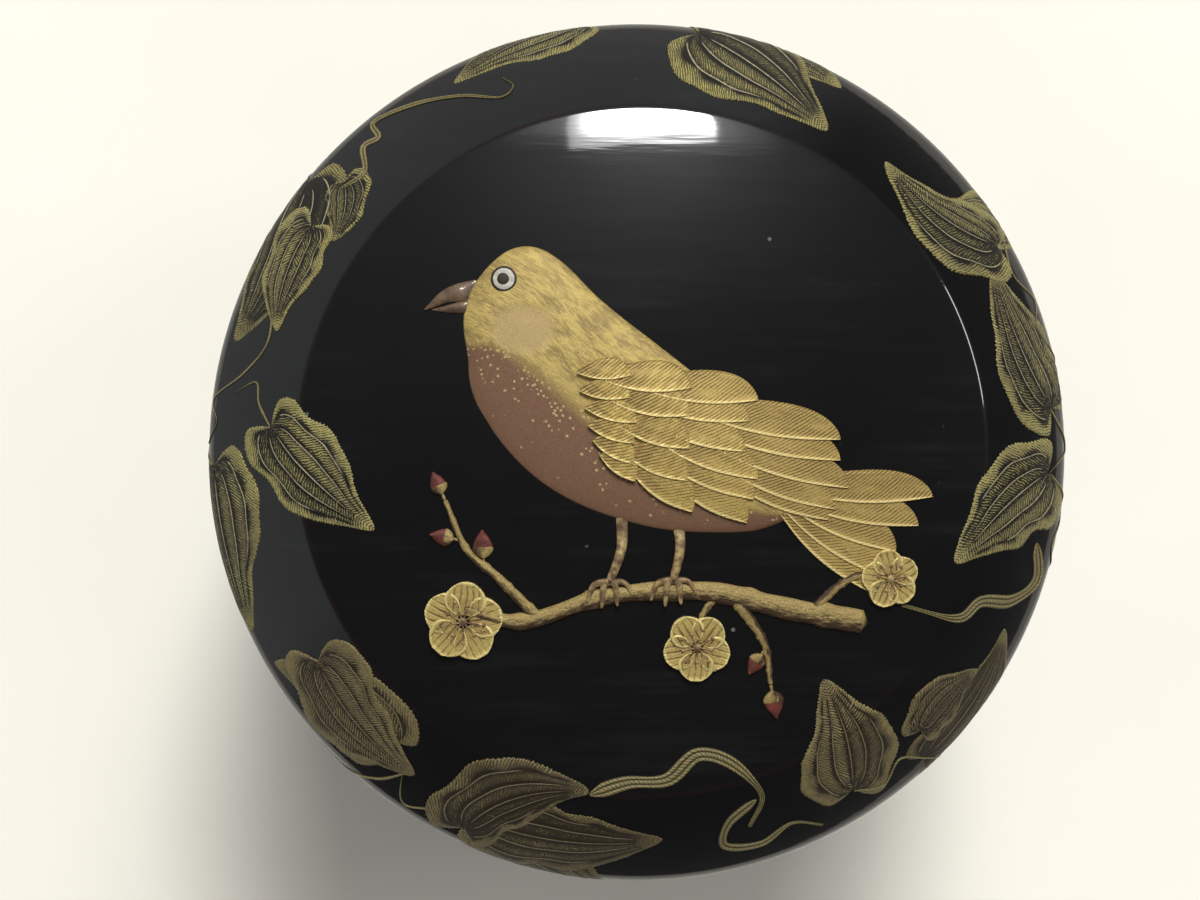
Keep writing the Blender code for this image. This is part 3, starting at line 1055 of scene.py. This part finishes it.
# Feather from its root along its heading, t along and v from the shaft's edge to the rounded one:
# top edge = width t^0.45 (1 - t^4)^0.6, low edge = -0.14 width sin(pi t); the shaft is a ridge at v = 0.
def featherPart(root, heading, length, width, lift, dark):
    turn, rows, columns = 0.25, 46, 13
    t = (np.arange(1, rows + 1) / (rows + 1))[:, None]
    t = 0.5 - 0.5 * np.cos(math.pi * t)
    v = (np.linspace(0, 1, columns) ** 1.5)[None, :]
    top = width * t**0.45 * (1 - t**4) ** 0.6
    low = -0.14 * width * np.sin(math.pi * t)
    y = low + (top - low) * v
    x = length * t + 0 * v
    shaft = np.exp(-((v / 0.10) ** 2))
    flow = flowField(x, y, dice.uniform(0, 40))
    tone = np.clip(dark + 0.9 * (1 - smoothStep(0.10, 0.62, t)) + 0.25 * smoothStep(0.5, 1.0, v), 0, 1)
    x, y = placed(*bent(x, y, length, turn), root, heading)
    tip = placed(*bent(length, 0.0, length, turn), root, heading)
    rise = lift + bodyLift(x, y) + 0.06 - 0.05 * v + 0.05 * shaft + 0.02 * t
    return sheetPart(onCrown, x, y, rise, [root, tip], sink=0.03, flow=flow, tone=tone, mark=shaft + 0 * t)


# Rows of feathers: roots step from one point to another, headings in degrees, the last row lies on top.
wingRows = [
    {"first": (4.4, -2.6), "last": (1.8, 2.0), "headings": (-31, -18), "lengths": (8.4, 11.4), "width": 2.7,
     "count": 5, "lift": 0.12, "dark": 0.7},
    {"first": (0.8, -2.5), "last": (-1.5, 3.4), "headings": (-37, -14), "lengths": (6.4, 8.2), "width": 2.6,
     "count": 6, "lift": 0.19, "dark": 0.42},
    {"first": (-1.7, -2.4), "last": (-3.3, 3.8), "headings": (-40, -12), "lengths": (4.6, 5.6), "width": 2.5,
     "count": 5, "lift": 0.26, "dark": 0.28},
    {"first": (-3.7, -1.3), "last": (-5.1, 4.1), "headings": (-44, -8), "lengths": (2.9, 3.7), "width": 1.7,
     "count": 6, "lift": 0.32, "dark": 0.2},
]
tailRow = {"first": (8.4, -4.9), "last": (8.7, -3.5), "headings": (-48, -10), "lengths": (8.6, 9.6),
           "width": 2.6, "count": 5, "lift": 0.02, "dark": 0.65}


def featherRow(row):
    parts = []
    for share in np.linspace(0, 1, row["count"]):
        root = np.array(row["first"]) * (1 - share) + np.array(row["last"]) * share
        root = root + dice.uniform(-0.16, 0.16, 2)
        runs = (row["headings"], row["lengths"])
        heading, length = (early * (1 - share) + late * share for early, late in runs)
        heading = math.radians(heading + dice.uniform(-2, 2))
        length = length * dice.uniform(0.93, 1.07)
        dark = row["dark"] + dice.uniform(-0.12, 0.12)
        parts.append(featherPart(root, heading, length, row["width"], row["lift"] + 0.05 * share, dark))
    return parts


print("bird")
makePiece("bird_body", [sheetPart(onCrown, **birdBody)], "plumage")
makePiece("bird_tail", featherRow(tailRow), "feather")
wing = [part for row in wingRows for part in featherRow(row)]
makePiece("bird_wing", wing, "feather")


# Ribbon of the picture, lit from one side: its tone falls evenly across it.
def litRibbon(path, halfWidth, liftOf, columns=9):
    number = dice.uniform(0, 40)
    return ribbonPart(onCrown, path, halfWidth, liftOf, lambda t, u: 0.5 - 0.5 * u, columns, number)


# Spike, such as a beak half or a claw: its half width falls to a point along the path, and its lift rises
# from the root within the share emerge, then falls by 1 - 0.75 t. A blunt root starts at its full width.
def spikePart(points, width, height, base, power=0.8, count=24, columns=9, blunt=0.0, emerge=0.001):
    share = np.linspace(0, 1, count)
    half = 0.5 * width * (1 - share * 0.97) ** power * np.clip(share / 0.05 + blunt, 0, 1) ** 0.5

    def spikeLift(t, u):
        return 0.02 + smoothStep(0, emerge, t) * (base + height * np.sqrt(1 - u**2) * (1 - 0.75 * t))

    return litRibbon(evenPath(points, count), half, spikeLift, columns)


# Lower and upper half of the beak, in mm.
beakLook = [
    {"points": [(-11.6, 8.9), (-13.2, 8.6), (-14.7, 8.5)], "width": 1.2, "height": 0.26, "base": 0.04},
    {"points": [(-11.5, 9.7), (-13.5, 9.5), (-15.2, 8.5)], "width": 1.8, "height": 0.36, "base": 0.08},
]
makePiece("bird_beak", [spikePart(**half, emerge=0.4) for half in beakLook], "hornBrown")

# Eye: a pale disc between a dark ring under it and the pupil on it.
eye, eyeRadius = bird["eye"], bird["eyeRadius"]
eyeBase = birdBody["lift"].flat[np.argmin(np.hypot(birdBody["x"] - eye[0], birdBody["y"] - eye[1]))]
makePiece("bird_eye", [bossPart(onCrown, eye, eyeRadius, 0.05, eyeBase + 0.06, 0.3, 9, 32)], "shell")
dark = [
    bossPart(onCrown, eye, 1.2 * eyeRadius, 0.05, eyeBase + 0.03, 0.4, 6, 32),
    bossPart(onCrown, (eye[0] - 0.05, eye[1]), 0.55 * eyeRadius, 0.05, eyeBase + 0.11, 0.4, 6, 24),
]
makePiece("bird_pupil", dark, "pupilBlack")


# Legs: top and foot of each, then the toes from the foot, all in mm.
legLook = {
    "legs": (((-2.1, -5.2), (-2.9, -9.5)), ((1.5, -4.9), (1.3, -9.4))),
    "halfWidths": (0.40, 0.27),
    "toes": ((-1.5, -1.35), (-0.55, -1.75), (0.5, -1.6)),
    "toeWidth": 0.5,
    "spurWidth": 0.42,
}


# Leg: a shank that comes out under the belly's edge, three toes over the twig and one behind it. Its lift is
# ringed by 1 + 0.12 sin(60 t).
def legParts(top, foot):
    def legLift(t, u):
        clear = smoothStep(0.22, 0.65, t)
        rounded = np.sqrt(1 - u**2) * (1 + 0.12 * np.sin(60 * t))
        return -0.02 + 0.42 * clear + (0.10 + 0.12 * clear) * rounded

    knee = (0.5 * (top[0] + foot[0]) + 0.35, 0.5 * (top[1] + foot[1]))
    shank = evenPath([top, knee, foot], 40)
    parts = [ribbonPart(onCrown, shank, np.linspace(*legLook["halfWidths"], 40), legLift, lambda t, u: 0.5)]
    for reach, drop in legLook["toes"]:
        toe = [foot, (foot[0] + 0.7 * reach, foot[1] - 0.25), (foot[0] + reach, foot[1] + drop)]
        parts.append(spikePart(toe, legLook["toeWidth"], 0.22, base=0.42, power=0.35, blunt=1.0))
    spur = [foot, (foot[0] + 1.0, foot[1] - 0.1), (foot[0] + 1.5, foot[1] - 0.9)]
    parts.append(spikePart(spur, legLook["spurWidth"], 0.2, base=0.40, power=0.35, blunt=1.0))
    return parts


makePiece("bird_legs", [part for leg in legLook["legs"] for part in legParts(*leg)], "legGold")

# Twig with its side shoots; widths in mm at both ends, buds as shares of the way along.
twigLook = [
    {"points": [(14.0, -12.3), (9.0, -11.4), (3.4, -10.2), (-3.0, -10.5), (-8.6, -12.2), (-12.4, -11.4)],
     "widths": (1.6, 0.95), "buds": []},
    {"points": [(-7.6, -12.0), (-10.4, -9.2), (-12.4, -7.4), (-13.8, -4.2)], "widths": (0.8, 0.35),
     "buds": [0.5, 0.72, 1.0]},
    {"points": [(5.4, -10.7), (7.4, -13.6), (7.9, -16.4)], "widths": (0.8, 0.35), "buds": [0.62, 1.0]},
    {"points": [(10.4, -11.7), (12.8, -9.6), (15.6, -8.6)], "widths": (0.7, 0.35), "buds": []},
    {"points": [(4.3, -10.4), (3.3, -11.8), (2.9, -13.6)], "widths": (0.55, 0.35), "buds": []},
]


# Twig: the half width runs evenly from end to end, swollen at the knots by a bell exp(-(distance / 0.10)^2),
# and lift = 0.03 + 0.36 sqrt(1 - u^2), less on the thin shoots.
def twigPart(twig):
    count = 120
    share = np.linspace(0, 1, count)
    knots = 1 + 0.22 * np.exp(-(((share * 5.2) % 1 - 0.5) / 0.10) ** 2) + 0.05 * np.sin(40 * share)
    thick, thin = twig["widths"]
    half = 0.5 * (thick * (1 - share) + thin * share) * knots
    path = evenPath(twig["points"], count)
    return litRibbon(path, half, lambda t, u: 0.03 + 0.36 * np.sqrt(1 - u**2) * min(1.0, thick), columns=13)


# Bud on a short stalk: half width = 0.36 size sin(pi t^0.7), its cup covers the first third.
def budParts(base, heading, size):
    step = np.array([math.cos(heading), math.sin(heading)])
    start = base + 0.55 * step
    stalk = spikePart([base, base + 0.3 * step, base + 0.7 * step], 0.26, 0.12, base=0.08, power=0.1, count=8)
    count = 26
    share = np.linspace(0, 1, count)
    parts = []
    for reach, swell, lift in ((1.0, 1.0, 0.0), (0.36, 1.08, 0.03)):
        half = 0.36 * size * swell * np.sin(math.pi * (0.04 + 0.92 * share * reach) ** 0.7)
        path = evenPath([start, start + 0.5 * reach * size * step, start + reach * size * step], count)
        parts.append(litRibbon(path, half, lambda t, u: 0.06 + lift + 0.26 * np.sqrt(1 - u**2)))
    return parts[0], [stalk, parts[1]]


buds, cups = [], []
for twig in twigLook:
    path = evenPath(twig["points"], 101)
    for order, share in enumerate(twig["buds"]):
        place = int(100 * share)
        ahead = math.atan2(*(path[place] - path[place - 1])[::-1])
        turn = 0.0 if share == 1.0 else (0.9 if order % 2 else -0.9)
        bud, cup = budParts(path[place], ahead + turn, dice.uniform(1.5, 1.9))
        buds.append(bud)
        cups += cup
makePiece("twig", [twigPart(twig) for twig in twigLook] + cups, "bark")
makePiece("buds", buds, "redLacquer")


# Petal: half width = 0.52 size u sin(pi t^0.85)^0.55, hollowed in the middle and raised at its rim.
def petalPart(centre, heading, size, lift):
    rows, columns = 32, 15
    t = (np.arange(1, rows + 1) / (rows + 1))[:, None]
    u = np.linspace(-1, 1, columns)[None, :]
    half = 0.52 * size * np.sin(math.pi * t**0.85) ** 0.55
    x, y = size * (0.14 + 0.86 * t) + 0 * u, u * half
    rim = np.maximum(smoothStep(0.72, 0.95, np.abs(u)), smoothStep(0.80, 0.97, t))
    flow = flowField(y, x, dice.uniform(0, 40))
    tone = np.clip(0.9 * (1 - smoothStep(0.15, 0.7, t)) + 0.3 * (1 - rim) + 0 * u, 0, 1)
    ends = [placed(0.14 * size, 0.0, centre, heading), placed(size, 0.0, centre, heading)]
    x, y = placed(x, y, centre, heading)
    rise = lift + 0.08 + 0.06 * rim + 0.03 * t
    return sheetPart(onCrown, x, y, rise, ends, flow=flow, tone=tone, mark=rim * 0.8)


blossomLook = {
    "blossoms": [
        {"centre": (-12.6, -12.2), "size": 2.7, "turn": 0.2},
        {"centre": (2.9, -13.9), "size": 2.3, "turn": 0.9},
        {"centre": (15.9, -9.4), "size": 2.0, "turn": 0.5},
    ],
    "petals": 5,
    "stamens": 9,
    "stamenReach": (0.52, 0.42),  # by turns, as shares of the blossom's size
    "stamenWidth": 0.14,
}

petals, stamens = [], []
for blossom in blossomLook["blossoms"]:
    centre, size, width = blossom["centre"], blossom["size"], blossomLook["stamenWidth"]
    for step in range(blossomLook["petals"]):
        heading = blossom["turn"] + 2 * math.pi * step / blossomLook["petals"]
        petals.append(petalPart(centre, heading, size, 0.24 + 0.04 * (step % 2)))
    for step in range(blossomLook["stamens"]):
        heading = blossom["turn"] + 2 * math.pi * (step + 0.5) / blossomLook["stamens"]
        end = placed(size * blossomLook["stamenReach"][step % 2], 0.0, centre, heading)
        stamens.append(spikePart([centre, end], width, 0.08, base=0.34, power=0.2, count=6, columns=5))
        stamens.append(bossPart(onCrown, end, width, 0.1, 0.36, 0.5, 4, 10))
    stamens.append(bossPart(onCrown, centre, 0.3, 0.16, 0.34, 0.5, 5, 14))
makePiece("blossom_petals", petals, "petal")
makePiece("blossom_stamens", stamens, "legGold")


# Floor, light and camera
floorLook = {
    "reach": 0.75,
    "dull": (0.71, 0.685, 0.605),
    "pale": (0.765, 0.74, 0.66),
    "mottleScale": 30.0,
}


def plainFloor():
    reach = floorLook["reach"]
    mesh = bpy.data.meshes.new("floor")
    corners = [(-reach, -reach, 0), (reach, -reach, 0), (reach, reach, 0), (-reach, reach, 0)]
    mesh.from_pydata(corners, [], [(0, 1, 2, 3)])
    material, tree, shader = startMaterial("paleFloor", {"Roughness": 0.85, "Specular IOR Level": 0.1})
    mottle = noise(objectPlace(tree), floorLook["mottleScale"], 3.0)
    tree.links.new(blendColour(mottle, floorLook["dull"], floorLook["pale"]), shader.inputs["Base Color"])
    mesh.materials.append(material)
    floor = bpy.data.objects.new("floor", mesh)
    bpy.context.scene.collection.objects.link(floor)


# Soft lights: direction and tilt in degrees, roll about the line to the caddy; those with a spread, in
# degrees, light the whole floor alike. Where a light fades, fade holds the shares of its two sides, then
# of its low and high edge, over which it falls to the share edge.
studio = {
    "highlight": {"from": (6.0, 29.5), "roll": 9.0, "distance": 0.9, "size": (0.185, 0.10), "power": 4.4,
                  "mirrored": True, "fade": (0.0, 0.30, 0.0, 0.35), "edge": 0.10},
    "glow": {"from": (6.5, 29.2), "roll": 3.0, "distance": 0.95, "size": (0.42, 0.12), "power": 0.36,
             "mirrored": True, "fade": (0.30, 0.30, 0.30, 0.30), "edge": 0.0},
    "key": {"from": (8.0, 40.0), "roll": 0.0, "distance": 0.9, "spread": 26.0, "power": 2.7,
            "mirrored": False},
    "fill": {"from": (0.0, 0.0), "roll": 0.0, "distance": 0.9, "spread": 70.0, "power": 0.75,
             "mirrored": False},
    "side": {"from": (72.0, 47.0), "roll": 0.0, "distance": 0.9, "size": (0.22, 0.08), "power": 0.85,
             "mirrored": True},
}


# Emission of a light that fades: edge + (1 - edge) * the four edges' rises, streaked by noise.
def fadingEmission(lamp, light):
    lamp.use_nodes = True
    tree = lamp.node_tree
    sheet = addNode(tree, "ShaderNodeNewGeometry").outputs["Parametric"]
    across, up = addNode(tree, "ShaderNodeSeparateXYZ", {0: sheet}).outputs[:2]
    streaks = noise(strokePlace(sheet, 26.0, 9.0), 1.0, 4.0, 0.65)
    level = softLimit(streaks, -0.3, 0.75)
    for run, side, width in zip((across, across, up, up), (0.0, 1.0, 0.0, 1.0), light["fade"]):
        if width:
            level = times(level, softLimit(run, side, abs(side - width)))
    strength = timesPlus(level, 1.0 - light["edge"], light["edge"])
    tree.links.new(strength, tree.nodes["Emission"].inputs["Strength"])


def softBox(name, light):
    towards, tilt = (math.radians(value) for value in light["from"])
    back = Vector((math.sin(tilt) * math.sin(towards), math.sin(tilt) * math.cos(towards), math.cos(tilt)))
    lamp = bpy.data.lights.new(name, "SUN" if "spread" in light else "AREA")
    if "spread" in light:
        lamp.angle = math.radians(light["spread"])
    else:
        lamp.shape = "RECTANGLE"
        lamp.size, lamp.size_y = light["size"]
    lamp.energy = light["power"]
    if "fade" in light:
        fadingEmission(lamp, light)
    made = bpy.data.objects.new(name, lamp)
    made.location = Vector((0, 0, caddy["lidTop"])) + back * light["distance"]
    roll = Quaternion((0, 0, 1), math.radians(light["roll"]))
    made.rotation_euler = (back.to_track_quat("Z", "Y") @ roll).to_euler()
    made.visible_glossy = light["mirrored"]
    bpy.context.scene.collection.objects.link(made)


# Room light, as the lacquer mirrors it: overhead it grows from dark to grey towards the picture's top, and
# near the horizon it is dark but for one bright wall, top left. Views of the scene see it as a pale wall.
room = {
    "dark": (0.055, 0.055, 0.06),
    "overhead": {"towards": (-0.34, 0.94, 0.0), "rise": (-0.05, 0.55), "colour": (0.165, 0.175, 0.185)},
    "horizon": {"towards": (-0.77, 0.64, 0.0), "rise": (0.04, 0.40), "colour": (0.46, 0.475, 0.475)},
    "seen": (0.84, 0.82, 0.77),
}


def roomLight():
    world = bpy.data.worlds.new("room")
    world.use_nodes = True
    bpy.context.scene.world = world
    tree = world.node_tree
    ray = addNode(tree, "ShaderNodeTexCoord").outputs["Generated"]
    looks = []
    for part in (room["overhead"], room["horizon"]):
        facing = addNode(tree, "ShaderNodeVectorMath", {0: ray, 1: part["towards"]}, operation="DOT_PRODUCT")
        share = softLimit(facing.outputs["Value"], *part["rise"])
        looks.append(blendColour(share, room["dark"], part["colour"]))
    height = addNode(tree, "ShaderNodeSeparateXYZ", {0: ray}).outputs[2]
    colour = blendColour(softLimit(height, 0.45, 0.75), looks[1], looks[0])
    seen = addNode(tree, "ShaderNodeLightPath").outputs["Is Camera Ray"]
    colour = blendColour(seen, colour, room["seen"])
    tree.links.new(colour, tree.nodes["Background"].inputs["Color"])


# Camera over the caddy, in metres; lens and sensor in mm
cameraView = {
    "lens": 78.0,
    "sensor": 36.0,
    "clip": (0.01, 10.0),
    "place": (-0.01126, -0.0028, 0.2592),
    "aim": (-0.00334, 0.0, 0.066),
}


def photoCamera():
    view = bpy.data.cameras.new("camera")
    view.lens, view.sensor_width = cameraView["lens"], cameraView["sensor"]
    view.clip_start, view.clip_end = cameraView["clip"]
    camera = bpy.data.objects.new("camera", view)
    camera.location = cameraView["place"]
    ahead = (Vector(cameraView["aim"]) - Vector(cameraView["place"])).normalized()
    right = ahead.cross(Vector((0, 1, 0))).normalized()  # the picture's top is towards +Y
    camera.rotation_euler = Matrix((right, right.cross(ahead), -ahead)).transposed().to_euler()
    bpy.context.scene.collection.objects.link(camera)
    bpy.context.scene.camera = camera


print("room")
bpy.context.scene.view_settings.view_transform = "Standard"
plainFloor()
for name, light in studio.items():
    softBox(name, light)
roomLight()
photoCamera()
